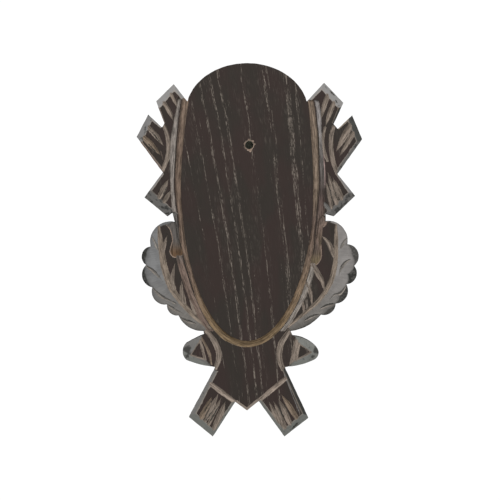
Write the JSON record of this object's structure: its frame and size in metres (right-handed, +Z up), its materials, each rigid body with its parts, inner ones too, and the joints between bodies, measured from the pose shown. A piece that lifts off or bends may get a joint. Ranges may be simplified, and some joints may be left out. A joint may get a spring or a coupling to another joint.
{
  "type": "antler mounting plaque",
  "caption": "Small carved oak wall board with a flat oval field for mounting roe-buck antlers, framed by twigs, oak leaves, acorns and crossed logs.",
  "frame": {"origin": "on the flat back, on the axis of the oval field, at half the board's height", "axes": "+Z up the board, +Y out of its back into the wall, +X to the right as seen from the front"},
  "size_m": [0.145, 0.016, 0.2394],
  "materials": {
    "dark_oak": "dark stained oak, satin, with paler bare wood in the carved cuts"
  },
  "bodies": {
    "root": {"carved_board": "dark_oak"}
  },
  "joints": []
}
